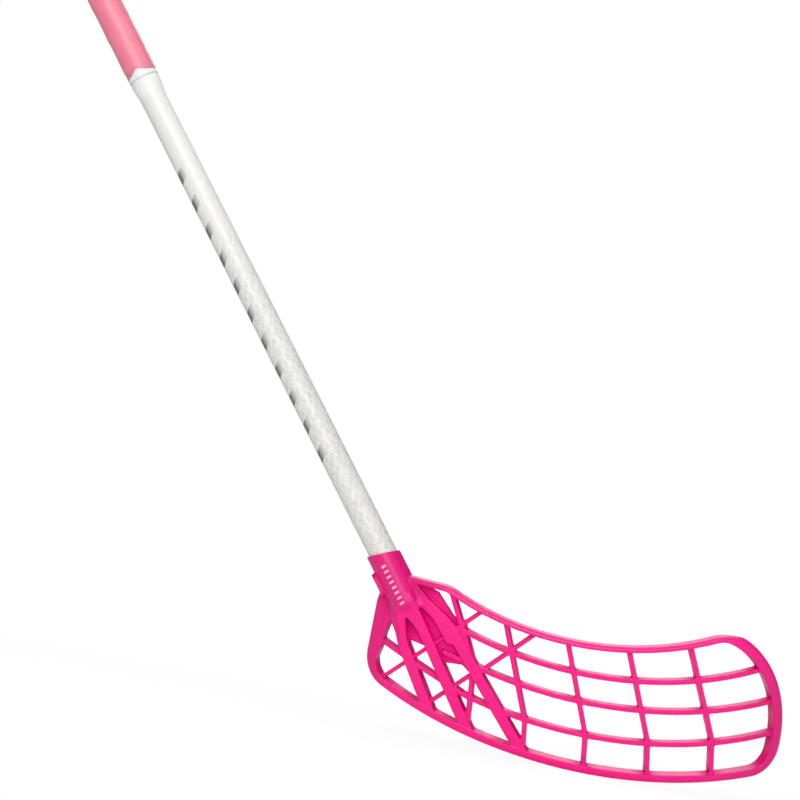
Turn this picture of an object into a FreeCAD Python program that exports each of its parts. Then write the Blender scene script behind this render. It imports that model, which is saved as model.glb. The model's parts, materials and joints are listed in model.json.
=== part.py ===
import FreeCAD, Part
import math
import os

# Floorball stick in playing stance. Millimetres and degrees, +Z up.
# X runs from heel to toe, +Y is the forehand side, and the origin is the point
# on the shaft axis where the grip is held.

# Shaft
shaft_length = 750.0
shaft_diameter = 19.2
shaft_wall = 1.4
lie = 52.2                  # angle of the shaft above the floor
slip_fit = 0.1              # radial clearance of every pushed-on or plugged-in piece

# Grip, collar and butt end
grip_length = 327.0
grip_thickness = 1.45
collar_ring = 8.4           # length of the straight ring under the grip
collar_cone = 12.6          # length of the cone below that ring
collar_step = 0.2           # how much smaller the ring is than the grip, on the radius
collar_lip = 0.5            # thickness of the cone's thin lower edge
cap_height = 4.0
cap_plug = 22.0
cap_wall = 2.0
cap_rim = 0.3               # how much smaller the cap is than the grip, on the radius
cap_bevel = 1.2

# Socket of the blade, heights along the shaft from the hub
socket_rise = 35.3          # up to the middle of the mouth
socket_sink = 3.0           # down to the floor of the socket
socket_floor = 3.5          # thickness under that floor
socket_taper = 3.0          # how much the closed end narrows, on the radius
socket_wall = 1.7
mouth_slant = 14.0          # the toe side of the mouth is cut lower
boss_width = 9.0
boss_length = 18.0
boss_rise = 2.6             # how far the screw boss stands proud of the socket
boss_middle = 17.0          # up to the screw

# Screw
screw_diameter = 3.5
screw_length = 7.0
screw_head_diameter = 6.4
screw_head_height = 2.0
screw_slot = 0.9
screw_fit = 0.1             # radial clearance round shank and head

# Blade: overall shape, measured from the hub on the shaft axis
blade_length = 292.8
heel_reach = 18.6           # from the hub back to the heel
hook_depth = 27.0           # how far the blade is hooked to the forehand side
loft = 17.0                 # how far the face is opened, against the shaft
shoulder_height = 16.8      # top of the blade beside the socket
toe_height = 21.6           # top of the blade at the toe
waist_height = 0.4          # lowest point of the top edge
waist_place = 117.2
top_rocker = 260.0          # radius of the top edge
belly_drop = 91.2           # lowest point of the bottom edge
belly_place = 150.0
bottom_rocker = 500.0       # radius of the bottom edge
toe_radius = 83.0
toe_middle = 54.0           # middle of the toe's arc, below the hub
corner_radius = 24.0

# Blade: frame, struts, ribs and web
frame_depth = 9.6
frame_bevel = 1.6
frame_softening = 0.6       # second, smaller bevel towards the face
top_width = 3.6             # width of the frame along the top edge
rail_width = 5.8            # along the bottom edge
toe_width = 8.4
heel_width = 8.6
strut_width = 7.6
strut_depth = 8.8
rib_width = 3.5
rib_depth = 6.6
brace_width = 2.8
brace_depth = 5.6
web_thickness = 3.0

# Blade: where ribs, struts and braces lie, in x from the hub
rib_shares = (0.240, 0.454, 0.707)          # of the blade's height, from the top
rib_toe_shares = (0.088, 0.404, 0.670)      # the same where they reach the toe
rib_starts = (42.0, 55.0, 43.0)
rib_middle = 120.0                          # where they hang lowest
heel_rib_places = (-13.0, 26.0, 50.0)       # the lowest rib goes on to the heel, more steeply
heel_rib_shares = (0.62, 0.683, 0.702)
pocket_ribs = (((20.0, -4.8), (46.0, -11.2)), ((32.0, -28.2), (58.0, -33.4)))
cross_places = (95.8, 138.4, 181.4, 225.6)  # where cross ribs meet the lowest long rib
cross_slants = (21.8, 21.8, 22.8, 24.6)
cross_foot_slants = (8.0, 8.0, 10.2, 10.5)
neck_rib_top = 28.8
neck_rib_bend = 54.3
neck_rib_foot = 58.8
strut_roots = (-8.5, 1.5, 10.0)             # to the toe side of the shaft's line
strut_knees = (-15.0, 2.5, 20.8)
strut_feet = (34.0, 62.6, 102.2)
strut_root_depth = 3.0                      # down the shaft's line
strut_knee_depth = 28.0
throat_top = 8.0                            # where the socket starts to flare, above the hub
throat_reach = 26.0                         # half width of that flare at the knees
throat_dip = 0.8                            # how deep its ends lie in the socket and the hub
brace_angle = 48.0
brace_places = (41.5, 77.5, 11.5, 41.2)     # crossings that the braces run through
brace_ribs = (0, 0, 2, 2)                   # the long rib at each crossing
brace_lifts = (3.0, 1.8, 4.3, -1.8)         # how far above the crossing they run
brace_falls = (0.0, 22.0, 22.0, 18.0)       # length below the crossing
brace_climbs = (18.0, 22.0, 38.0, 18.0)     # length above it
hub_corners = (                             # (down the shaft's line, to its toe side)
    (-12, 9), (-6.7, 13.4), (4.9, 16), (23.5, 23.4), (34, 22.4), (42, 20), (38, 13.5), (27, 13.2),
    (8.4, 12.6), (6.2, 3.4), (33, 3.6), (33, 1.2), (15, -2), (7, -4), (13, -11.6),
    (33, -13.4), (33, -17.2), (9, -15.3), (17, -24.4), (24, -30.8), (20, -34.5), (-11, -12),
)
web_corners = (
    (-12, -8), (-6.5, -15), (2, -24), (4, -26.5), (24, -29), (34, -36),
    (46, -34.5), (52, -39), (58, -38), (42, -3), (34, -2.3), (21, 11.3), (5, 16), (-15, 5),
)
clear = 40.0                # how far a cutting shape stands out from the blade's face
tiny = 0.05                 # lengths closer than this count as equal

origin = FreeCAD.Vector(0, 0, 0)
x_axis = FreeCAD.Vector(1, 0, 0)
y_axis = FreeCAD.Vector(0, 1, 0)
z_axis = FreeCAD.Vector(0, 0, 1)

shaft_radius = shaft_diameter / 2
shaft_bore = shaft_radius - shaft_wall
shaft_bottom = -socket_sink
shaft_top = shaft_bottom + shaft_length
grip_radius = shaft_radius + grip_thickness
grip_bottom = shaft_top - grip_length
hold_height = grip_bottom + grip_length / 2
socket_bore = shaft_radius + slip_fit
socket_radius = socket_bore + socket_wall
head_seat = socket_radius + boss_rise - screw_head_height

tilt = math.radians(lie)
hub = FreeCAD.Vector(math.cos(tilt), 0, -math.sin(tilt)) * hold_height

heel_x = -heel_reach
toe_x = heel_x + blade_length
hook_middle = (heel_x + toe_x) / 2
hook_radius = ((blade_length / 2) ** 2 + hook_depth ** 2) / (2 * hook_depth)
hook_centre_y = math.sqrt(hook_radius ** 2 - hook_middle ** 2)


def on_shaft(shape):
    """Lean a shape built round Z, with the hub at zero, onto the shaft axis."""
    shape.rotate(origin, y_axis, lie - 90)
    shape.translate(hub)
    return shape


def on_hub(shape):
    """Open the face of a shape built round the hub, and set it on the shaft."""
    shape.rotate(origin, x_axis, loft)
    shape.translate(hub)
    return shape


def rod(radius, bottom, top):
    """A round rod on the shaft axis."""
    return Part.makeCylinder(radius, top - bottom, FreeCAD.Vector(0, 0, bottom))


def screw_space(radius, start, end):
    """A round space along the screw, from start to end outwards of the shaft axis."""
    return Part.makeCylinder(radius, end - start, FreeCAD.Vector(-start, 0, boss_middle), -x_axis)


def ring_edges(shape, height):
    """The round edges of a turned shape that lie at one height."""
    return [
        edge for edge in shape.Edges
        if abs(edge.BoundBox.ZMin - height) < tiny and edge.BoundBox.ZLength < tiny
    ]


# Shaft, grip, collar, cap and screw


def make_shaft_tube():
    tube = rod(shaft_radius, shaft_bottom, shaft_top)
    tube = tube.cut(rod(shaft_bore, shaft_bottom, shaft_top))
    tube = tube.cut(screw_space(screw_diameter / 2 + screw_fit, 0, socket_radius))
    return on_shaft(tube)


def make_grip_wrap():
    wrap = rod(grip_radius, grip_bottom, shaft_top)
    return on_shaft(wrap.cut(rod(shaft_radius, grip_bottom, shaft_top)))


def make_grip_collar():
    ring_radius = grip_radius - collar_step
    ring_bottom = grip_bottom - collar_ring
    cone_bottom = ring_bottom - collar_cone
    section = [
        (shaft_radius, cone_bottom),
        (shaft_radius + collar_lip, cone_bottom),
        (ring_radius, ring_bottom),
        (ring_radius, grip_bottom),
        (shaft_radius, grip_bottom),
    ]
    corners = [FreeCAD.Vector(r, 0, z) for r, z in section]
    collar = Part.Face(Part.makePolygon(corners + corners[:1]))
    return on_shaft(collar.revolve(origin, z_axis, 360))


def make_end_cap():
    cap_top = shaft_top + cap_height
    head = rod(grip_radius - cap_rim, shaft_top, cap_top)
    head = head.makeChamfer(cap_bevel, ring_edges(head, cap_top))
    plug_radius = shaft_bore - slip_fit
    plug = rod(plug_radius, shaft_top - cap_plug, shaft_top)
    plug = plug.cut(rod(plug_radius - cap_wall, shaft_top - cap_plug, shaft_top - cap_wall))
    return on_shaft(head.fuse(plug).removeSplitter())


def make_blade_screw():
    head_end = head_seat + screw_head_height
    head = screw_space(screw_head_diameter / 2, head_seat, head_end)
    shank = screw_space(screw_diameter / 2, head_seat - screw_length, head_seat)
    slot = Part.makeBox(
        screw_head_height / 2, 2 * screw_head_diameter, screw_slot,
        FreeCAD.Vector(-head_end, -screw_head_diameter, boss_middle - screw_slot / 2))
    return on_shaft(head.fuse(shank).cut(slot).removeSplitter())


# Blade, drawn flat in x and z from the hub and then hooked


def flat(x):
    """Place on the flat pattern for a distance along the hooked blade's chord."""
    side = x - hook_middle
    return hook_middle + side / math.sqrt(1 - (side / hook_radius) ** 2)


def face_point(x, z):
    return FreeCAD.Vector(flat(x), 0, z)


def below_hub(along, across):
    """The (x, z) point so far down the shaft's line, and so far to its toe side."""
    x = along * math.cos(tilt) + across * math.sin(tilt)
    z = across * math.cos(tilt) - along * math.sin(tilt)
    return (x, z)


def hook_slab(depth):
    """The space between two round walls either side of the hooked face."""
    foot = FreeCAD.Vector(hook_middle, hook_centre_y, -2 * belly_drop)
    height = 4 * belly_drop
    outside = Part.makeCylinder(hook_radius + depth / 2, height, foot)
    return outside.cut(Part.makeCylinder(hook_radius - depth / 2, height, foot))


def square_to_face(wire):
    """A solid through a flat outline whose walls stand square to the hooked face."""
    ends = []
    for distance in (hook_radius + clear, hook_radius - clear):
        spread = FreeCAD.Matrix()
        spread.move(FreeCAD.Vector(-hook_middle, 0, 0))
        spread.scale(distance / hook_radius, 1, 1)
        spread.move(FreeCAD.Vector(hook_middle, hook_centre_y - distance, 0))
        ends.append(wire.transformGeometry(spread))
    return Part.makeLoft(ends, True, True)


def hub_prism(corners):
    """A prism through corners at (x, z) points, square to the face at the hub."""
    slope = -hook_middle / hook_centre_y
    inwards = FreeCAD.Vector(hook_middle, hook_centre_y, 0).normalize() * clear
    points = [FreeCAD.Vector(x, slope * x, z) - inwards for x, z in corners]
    return Part.Face(Part.makePolygon(points + points[:1])).extrude(inwards * 2)


def disc(radius, x, z):
    circle = Part.makeCircle(radius, FreeCAD.Vector(x, 0, z), y_axis)
    return Part.Face(Part.Wire(circle))


def panel(left, right, bottom, left_top, right_top):
    corners = [(left, bottom), (right, bottom), (right, right_top), (left, left_top), (left, bottom)]
    return Part.Face(Part.makePolygon([FreeCAD.Vector(x, 0, z) for x, z in corners]))


def blade_outline(top, rail, toe, heel):
    """The blade's flat outline with round corners, drawn in by a width along each edge."""
    floor = -2 * belly_drop
    left = flat(heel_x) + heel
    right = flat(toe_x)
    toe_start = right - toe_radius
    beyond_toe = panel(toe_start, right, floor, toe_height, toe_height)
    beyond_toe = beyond_toe.cut(disc(toe_radius - toe, toe_start, -toe_middle))
    outline = panel(left, right, floor, shoulder_height - top, toe_height - top)
    outline = outline.cut(beyond_toe)
    outline = outline.common(disc(bottom_rocker - rail, flat(belly_place), bottom_rocker - belly_drop))
    outline = outline.cut(disc(top_rocker + top, flat(waist_place), top_rocker + waist_height))
    corner = corner_radius - max(top, rail, toe, heel)
    return outline.Faces[0].makeOffset2D(-corner, 2).makeOffset2D(corner)


def top_edge(x):
    rise = top_rocker - math.sqrt(top_rocker ** 2 - (flat(x) - flat(waist_place)) ** 2)
    slope = (toe_height - shoulder_height) / (flat(toe_x) - flat(heel_x))
    return min(waist_height + rise, shoulder_height + slope * (flat(x) - flat(heel_x)))


def bottom_edge(x):
    rise = bottom_rocker - math.sqrt(bottom_rocker ** 2 - (flat(x) - flat(belly_place)) ** 2)
    return rise - belly_drop


def share_height(share, x):
    return top_edge(x) - share * (top_edge(x) - bottom_edge(x))


def bar(start, end, width, depth):
    """A straight bar on the face between two (x, z) points, its walls square to the face."""
    first = face_point(*start)
    last = face_point(*end)
    middle = (first + last) * 0.5
    turn = math.atan2(middle.x - hook_middle, hook_radius)
    run = (last.x - first.x) * math.cos(turn) ** 2
    rise = last.z - first.z
    length = math.hypot(run, rise)
    box = Part.makeBox(length, 2 * clear, width, FreeCAD.Vector(-length / 2, -clear, -width / 2))
    box.rotate(origin, y_axis, -math.degrees(math.atan2(rise, run)))
    box.rotate(origin, z_axis, math.degrees(turn))
    box.translate(FreeCAD.Vector(
        hook_middle + hook_radius * math.sin(turn),
        hook_centre_y - hook_radius * math.cos(turn),
        middle.z))
    return box.common(hook_slab(depth))


def chain(points, width, depth):
    """Bars from point to point, with a round post over each bend."""
    bars = [bar(a, b, width, depth) for a, b in zip(points, points[1:])]
    for x, z in points[1:-1]:
        post = Part.Wire(Part.makeCircle(width / 2, face_point(x, z), y_axis))
        bars.append(square_to_face(post).common(hook_slab(depth)))
    return bars


def make_frame():
    """The rim of the blade, bevelled twice along its outer edges."""
    body = square_to_face(blade_outline(0, 0, 0, 0).OuterWire).common(hook_slab(frame_depth))
    for bevel in (frame_bevel, frame_softening):
        faces = sorted(body.Faces, key=lambda face: face.Area)[-2:]
        body = body.makeChamfer(bevel, [edge for face in faces for edge in face.Edges])
    field = blade_outline(top_width, rail_width, toe_width, heel_width)
    return body.cut(square_to_face(field.OuterWire))


def make_long_rib(share, toe_share, start):
    """A long rib on an arc that keeps its share of the blade's height."""
    line = [
        face_point(start, share_height(share, start)),
        face_point(rib_middle, share_height(share, rib_middle)),
        face_point(toe_x, share_height(toe_share, toe_x)),
    ]
    centre = Part.Arc(*line).toShape().Curve.Center
    half = [(point - centre).normalize() * (rib_width / 2) for point in line]
    outer = [point + step for point, step in zip(line, half)]
    inner = [point - step for point, step in zip(line, half)]
    wire = Part.Wire([
        Part.Arc(*outer).toShape(),
        Part.makeLine(outer[2], inner[2]),
        Part.Arc(*reversed(inner)).toShape(),
        Part.makeLine(inner[0], outer[0]),
    ])
    return square_to_face(wire).common(hook_slab(rib_depth))


def make_heel_rib():
    """The rib that carries the lowest long rib on to the heel."""
    line = [(x, share_height(share, x)) for x, share in zip(heel_rib_places, heel_rib_shares)]
    return chain(line, rib_width, rib_depth)


def make_pocket_ribs():
    """Short ends of the upper long ribs that run on over the web of the hub."""
    return [bar(start, end, rib_width, rib_depth) for start, end in pocket_ribs]


def make_cross_ribs():
    """Cross ribs that bend where they meet the lowest long rib."""
    ribs = []
    for x, slant, foot_slant in zip(cross_places, cross_slants, cross_foot_slants):
        knee_z = share_height(rib_shares[2], x)
        head_x = x - (toe_height - knee_z) * math.tan(math.radians(slant))
        foot_x = x + (knee_z + belly_drop) * math.tan(math.radians(foot_slant))
        line = [(head_x, toe_height), (x, knee_z), (foot_x, -belly_drop)]
        ribs += chain(line, rib_width, rib_depth)
    return ribs


def make_neck_rib():
    """The cross rib nearest the hub, which bends at the middle long rib."""
    bend = (neck_rib_bend, share_height(rib_shares[1], neck_rib_bend))
    line = [(neck_rib_top, shoulder_height), bend, (neck_rib_foot, bottom_edge(neck_rib_foot))]
    return chain(line, rib_width, rib_depth)


def make_struts():
    """Three struts that fan out from the socket and land on the bottom rail."""
    struts = []
    for root, knee, foot in zip(strut_roots, strut_knees, strut_feet):
        line = [
            below_hub(strut_root_depth, root),
            below_hub(strut_knee_depth, knee),
            (foot, bottom_edge(foot)),
        ]
        struts += chain(line, strut_width, strut_depth)
    return struts


def make_hub():
    """The raised middle of the blade, with a finger towards each strut and the heel."""
    return hub_prism([below_hub(along, across) for along, across in hub_corners])


def face_turn():
    """How far the opened and hooked face is turned round the shaft axis at the hub."""
    face = FreeCAD.Vector(-hook_middle, -hook_centre_y, 0)
    opened = FreeCAD.Rotation(x_axis, loft).multVec(face)
    shaft_up = FreeCAD.Vector(-math.cos(tilt), 0, math.sin(tilt))
    toe_side = FreeCAD.Vector(math.sin(tilt), 0, math.cos(tilt))
    run = shaft_up.cross(opened)
    return math.degrees(math.atan2(run.y, run.dot(toe_side)))


def make_throat():
    """The flare that carries the round socket down into the fingers of the hub."""
    rim = Part.Wire(Part.makeCircle(socket_radius - throat_dip, FreeCAD.Vector(0, 0, throat_top), z_axis))
    oval = Part.Ellipse(origin, throat_reach, strut_depth / 2 - throat_dip).toShape()
    oval.rotate(origin, z_axis, face_turn())
    oval.translate(FreeCAD.Vector(0, 0, -strut_knee_depth))
    flare = on_shaft(Part.makeLoft([rim, Part.Wire(oval)], True, True))
    return flare.common(on_hub(make_hub()))


def make_braces():
    """Thin braces through crossings of the lattice, all at one angle."""
    run = math.cos(math.radians(brace_angle))
    rise = math.sin(math.radians(brace_angle))
    braces = []
    for x, rib, lift, fall, climb in zip(
            brace_places, brace_ribs, brace_lifts, brace_falls, brace_climbs):
        z = share_height(rib_shares[rib], x) + lift
        low = (x - fall * run, z - fall * rise)
        high = (x + climb * run, z + climb * rise)
        braces.append(bar(low, high, brace_width, brace_depth))
    return braces


def make_lattice():
    """Everything inside the frame, trimmed so that it ends within the frame."""
    shapes = [
        make_long_rib(share, toe_share, start)
        for share, toe_share, start in zip(rib_shares, rib_toe_shares, rib_starts)
    ]
    shapes += make_heel_rib()
    shapes += make_pocket_ribs()
    shapes += make_cross_ribs()
    shapes += make_neck_rib()
    shapes += make_struts()
    shapes += make_braces()
    shapes.append(make_hub().common(hook_slab(strut_depth)))
    shapes.append(hub_prism(web_corners).common(hook_slab(web_thickness)))
    inside = blade_outline(top_width / 2, rail_width / 2, toe_width / 2, heel_width / 2)
    return shapes[0].fuse(shapes[1:]).common(square_to_face(inside.OuterWire))


def make_socket_body():
    """The closed round body of the socket with its screw boss, still without its bore."""
    body = rod(socket_radius, -socket_sink, socket_rise + socket_radius)
    closed_end = Part.makeCone(
        socket_radius - socket_taper, socket_radius, socket_floor,
        FreeCAD.Vector(0, 0, -socket_sink - socket_floor))
    boss = Part.makeBox(
        socket_radius + boss_rise, boss_width, boss_length,
        FreeCAD.Vector(-socket_radius - boss_rise, -boss_width / 2, boss_middle - boss_length / 2))
    corners = [edge for edge in boss.Edges if edge.BoundBox.XLength > socket_radius]
    boss = boss.makeFillet(boss_width / 2 - tiny, corners)
    return body.fuse([closed_end, boss])


def make_blade():
    body = on_hub(make_frame().fuse(make_lattice()))
    body = body.fuse([on_shaft(make_socket_body()), make_throat()])
    size = 4 * socket_radius
    above_mouth = Part.makeBox(size, size, size, FreeCAD.Vector(-size / 2, -size / 2, 0))
    above_mouth.rotate(origin, y_axis, mouth_slant)
    above_mouth.translate(FreeCAD.Vector(0, 0, socket_rise))
    spaces = [
        above_mouth,
        rod(socket_bore, -socket_sink, socket_rise + size),
        screw_space(screw_diameter / 2 + screw_fit, 0, head_seat),
        screw_space(screw_head_diameter / 2 + screw_fit, head_seat, head_seat + socket_radius),
    ]
    for space in spaces:
        body = body.cut(on_shaft(space))
    return body.removeSplitter()


makers = {
    "blade": make_blade,
    "shaft_tube": make_shaft_tube,
    "blade_screw": make_blade_screw,
    "grip_wrap": make_grip_wrap,
    "grip_collar": make_grip_collar,
    "end_cap": make_end_cap,
}

os.makedirs("parts", exist_ok=True)
for name, maker in makers.items():
    shape = maker()
    shape.exportStep("parts/" + name + ".step")
    print(name, len(shape.Solids), "solid, valid:", shape.isValid(), "volume", round(shape.Volume))
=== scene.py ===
# %% [markdown]
# # Dressing a floorball stick
# The solids of the stick come from a CAD model and stay where they are. This lesson puts
# the looks around them: a soft moulded blade, a lacquered shaft, a wound grip and the
# small pieces that finish the ends. Everything is in metres, with +Z up, and the origin is
# the point in the middle of the grip where the stick is held.

# %% Load the solids
import json
import math

import bmesh
import bpy
from mathutils import Matrix, Vector


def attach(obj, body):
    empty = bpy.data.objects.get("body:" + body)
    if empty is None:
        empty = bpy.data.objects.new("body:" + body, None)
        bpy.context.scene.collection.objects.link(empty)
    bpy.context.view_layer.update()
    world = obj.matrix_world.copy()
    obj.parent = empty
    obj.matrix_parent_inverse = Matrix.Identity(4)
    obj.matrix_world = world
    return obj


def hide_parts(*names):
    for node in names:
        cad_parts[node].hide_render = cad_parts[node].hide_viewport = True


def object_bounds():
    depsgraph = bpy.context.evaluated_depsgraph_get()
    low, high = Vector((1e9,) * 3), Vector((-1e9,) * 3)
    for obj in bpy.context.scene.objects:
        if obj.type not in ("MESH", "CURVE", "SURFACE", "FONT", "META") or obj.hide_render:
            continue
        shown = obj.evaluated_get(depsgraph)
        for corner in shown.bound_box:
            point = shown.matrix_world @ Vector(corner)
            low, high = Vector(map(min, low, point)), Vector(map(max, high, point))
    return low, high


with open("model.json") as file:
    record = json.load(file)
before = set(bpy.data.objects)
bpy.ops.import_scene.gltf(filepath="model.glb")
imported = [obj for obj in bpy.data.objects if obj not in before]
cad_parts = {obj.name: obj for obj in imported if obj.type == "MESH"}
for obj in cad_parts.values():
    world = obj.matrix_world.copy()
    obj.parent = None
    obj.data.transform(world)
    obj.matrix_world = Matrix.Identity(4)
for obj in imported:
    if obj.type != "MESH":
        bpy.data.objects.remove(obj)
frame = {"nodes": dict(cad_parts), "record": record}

cad_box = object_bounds()


def rounded(box):
    """The two corners of a box, short enough to print."""
    return [tuple(round(number, 4) for number in corner) for corner in box]


print("solids:", sorted(frame["nodes"]))
print("box:", rounded(cad_box))

# %% [markdown]
# ## A ruler along the shaft
# Shaft, grip, collar and cap are all round pieces on one slanted axis. It is easier to
# think in "how far along" and "how far round" than in X, Y and Z, so the first helpers turn
# the one into the other. The axis itself comes from the part's own record, so the pieces
# made here can't drift away from the solids.

# %% The shaft's own directions
MM = 0.001


def find_mount(name):
    """One of the mounts in the part's record."""
    return next(mount for mount in frame["record"]["mounts"] if mount["name"] == name)


grip_mount = find_mount("grip")
GRIP_RADIUS = grip_mount["dims"]["r_mm"] * MM
SHAFT_RADIUS = find_mount("bare_shaft")["dims"]["r_mm"] * MM
shaft_up = Vector(grip_mount["axis"]).normalized()
toe_side = Vector((shaft_up.z, 0.0, -shaft_up.x))
near_side = Vector((0.0, -1.0, 0.0))


def on_shaft(along, radius, angle):
    """A point on the shaft. Angle 0 faces the toe, and a quarter turn on it faces the viewer."""
    return shaft_up * along + (toe_side * math.cos(angle) + near_side * math.sin(angle)) * radius


def reach(node):
    """Lowest and highest place of a node along the shaft."""
    places = [shaft_up.dot(vertex.co) for vertex in frame["nodes"][node].data.vertices]
    return min(places), max(places)


shaft_low, shaft_high = reach("shaft_tube")
grip_low, grip_high = reach("grip_wrap")
collar_low, collar_high = reach("grip_collar")
cap_low, cap_high = reach("end_cap")
print("shaft from %.3f to %.3f m, grip from %.3f" % (shaft_low, shaft_high, grip_low))

# %% [markdown]
# ## Camera
# The photograph was taken from a little above the floor with a long lens, looking slightly
# up, with the camera rolled so that the blade's toe hangs lower. A camera is easiest to
# place exactly by writing its three directions as the columns of a matrix.

# %% Place the camera
CAMERA_PLACE = Vector((0.3348, -1.3910, -0.4880))
CAMERA_TURN = math.radians(-0.32)
CAMERA_TILT = math.radians(-6.66)
CAMERA_ROLL = math.radians(11.06)
LENS = 90.0
SENSOR_WIDTH = 36.0
CLIP_NEAR = 0.01
CLIP_FAR = 60.0


def put_in_scene(name, data):
    """Make an object of a mesh, a lamp or a camera, and link it to the scene."""
    made = bpy.data.objects.new(name, data)
    bpy.context.scene.collection.objects.link(made)
    return made


ahead = Vector((
    math.sin(CAMERA_TURN) * math.cos(CAMERA_TILT),
    math.cos(CAMERA_TURN) * math.cos(CAMERA_TILT),
    -math.sin(CAMERA_TILT)))
level = Vector((math.cos(CAMERA_TURN), -math.sin(CAMERA_TURN), 0.0))
upright = level.cross(ahead)
right = level * math.cos(CAMERA_ROLL) + upright * math.sin(CAMERA_ROLL)
above = upright * math.cos(CAMERA_ROLL) - level * math.sin(CAMERA_ROLL)

camera_data = bpy.data.cameras.new("photo_camera")
camera_data.sensor_width = SENSOR_WIDTH
camera_data.lens = LENS
camera_data.clip_start = CLIP_NEAR
camera_data.clip_end = CLIP_FAR
camera = put_in_scene("photo_camera", camera_data)
camera.matrix_world = Matrix((
    (right.x, above.x, -ahead.x, CAMERA_PLACE.x),
    (right.y, above.y, -ahead.y, CAMERA_PLACE.y),
    (right.z, above.z, -ahead.z, CAMERA_PLACE.z),
    (0.0, 0.0, 0.0, 1.0)))
bpy.context.scene.camera = camera
bpy.context.scene.view_settings.view_transform = "Standard"
print("camera is %.0f mm above the floor" % ((CAMERA_PLACE.z - cad_box[0][2]) / MM))

# %% [markdown]
# ## Working with shader nodes
# Materials are built from nodes. A few small helpers keep that readable. One fills the
# inputs of a node, and an input can be given a plain value, or the output of another node,
# which is then linked. The others add a node, calculate, make a smooth step, or lay one
# colour over another.

# %% Node helpers


def fill(tree, node, inputs):
    """Fill a node's inputs with plain values, or with links from other nodes."""
    for name, value in inputs.items():
        if isinstance(value, bpy.types.NodeSocket):
            tree.links.new(value, node.inputs[name])
        else:
            node.inputs[name].default_value = value


def add(tree, kind, inputs=None, **settings):
    """Add a node, set its properties, and fill its inputs."""
    made = tree.nodes.new(kind)
    for name, value in settings.items():
        setattr(made, name, value)
    fill(tree, made, inputs or {})
    return made


def maths(tree, operation, first, second=0.0):
    """A calculation with one or two values."""
    return add(tree, "ShaderNodeMath", {0: first, 1: second}, operation=operation).outputs[0]


def between(tree, value, low, high, out_low=0.0, out_high=1.0):
    """A smooth step from one level to another."""
    return add(tree, "ShaderNodeMapRange", {
        "Value": value, "From Min": low, "From Max": high, "To Min": out_low, "To Max": out_high,
    }, interpolation_type="SMOOTHSTEP").outputs["Result"]


def spread(tree, mask, low, high):
    """A mask from 0 to 1, turned into a value from low to high."""
    return between(tree, mask, 0.0, 1.0, low, high)


def blend_colours(tree, mask, first, second):
    """The first colour where the mask is 0, and the second where it is 1."""
    return add(tree, "ShaderNodeMix", {
        "Factor": mask, 6: first, 7: second}, data_type="RGBA").outputs[2]


def layered(tree, colour, layers):
    """Lay colours over a first one. Each layer is (mask, share, colour)."""
    for mask, share, other in layers:
        colour = blend_colours(tree, maths(tree, "MULTIPLY", mask, share), colour, other)
    return colour


def bumped(tree, height, strength, distance):
    """A normal that follows a height."""
    bump = add(tree, "ShaderNodeBump", {"Height": height, "Strength": strength, "Distance": distance})
    return bump.outputs["Normal"]


def object_place(tree):
    """The place on the object, in metres."""
    return add(tree, "ShaderNodeTexCoord").outputs["Object"]


print("node helpers ready")

# %% [markdown]
# An effect that returns on several finishes is made once, as a node group with named sockets.
# A finish is a material with one shader, and a piece that wears it stands for a node of
# the CAD model.

# %% Groups and finishes


def new_group(name, inputs, outputs):
    """An empty node group with float inputs and named outputs."""
    tree = bpy.data.node_groups.new(name, "ShaderNodeTree")
    for label, value in inputs.items():
        socket = tree.interface.new_socket(label, in_out="INPUT", socket_type="NodeSocketFloat")
        socket.default_value = value
    for label in outputs:
        tree.interface.new_socket(label, in_out="OUTPUT", socket_type="NodeSocketFloat")
    start = tree.nodes.new("NodeGroupInput")
    end = tree.nodes.new("NodeGroupOutput")
    return tree, start.outputs, end


def use_group(tree, group, **inputs):
    """Put a group into a material, and give its outputs."""
    return add(tree, "ShaderNodeGroup", inputs, node_tree=group).outputs


def new_material(name):
    """A material with its principled shader, ready for links."""
    material = bpy.data.materials.new(name)
    material.use_nodes = True
    return material, material.node_tree, material.node_tree.nodes["Principled BSDF"]


def dress(piece, node, material):
    """Let a piece stand for a node, with its finish."""
    piece.data.materials.clear()
    piece.data.materials.append(material)
    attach(piece, "root")
    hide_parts(node)
    print(piece.name, "wears", material.name)


print("group and finish helpers ready")

# %% [markdown]
# ## Shared effects
# Five effects return on several finishes. The first gives the place along and round the
# shaft, for patterns that follow the tube. The second is the fine grain that every moulded
# or lacquered skin has. The third is a slow mottle, because no plastic is one flat colour.
# The fourth is a set of hairline scuffs. The last prints a row of plain slanted bars,
# counted from the origin so that none is cut in half at the ends.

# %% Place on the shaft
shaft_place, _, ends = new_group("shaft_place", {}, ["Along", "Around"])
spot = object_place(shaft_place)


def measure(direction):
    """How far the place is from the origin in one direction."""
    return add(
        shaft_place, "ShaderNodeVectorMath", {0: spot, 1: tuple(direction)},
        operation="DOT_PRODUCT").outputs["Value"]


around = maths(shaft_place, "ARCTAN2", measure(near_side), measure(toe_side))
fill(shaft_place, ends, {
    "Along": measure(shaft_up), "Around": maths(shaft_place, "DIVIDE", around, math.tau)})
print("group", shaft_place.name)

# %% Fine grain
GRAIN_LEVELS = (0.3, 0.7)

fine_grain, given, ends = new_group("fine_grain", {"Scale": 900.0, "Detail": 3.0}, ["Height"])
noise = add(fine_grain, "ShaderNodeTexNoise", {
    "Vector": object_place(fine_grain), "Scale": given["Scale"], "Detail": given["Detail"],
    "Roughness": 0.6})
fill(fine_grain, ends, {"Height": noise.outputs["Fac"]})


def grain_gloss(tree, grain, low, high):
    """A roughness from low to high that follows a grain."""
    return between(tree, grain, *GRAIN_LEVELS, low, high)


print("group", fine_grain.name)

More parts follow.
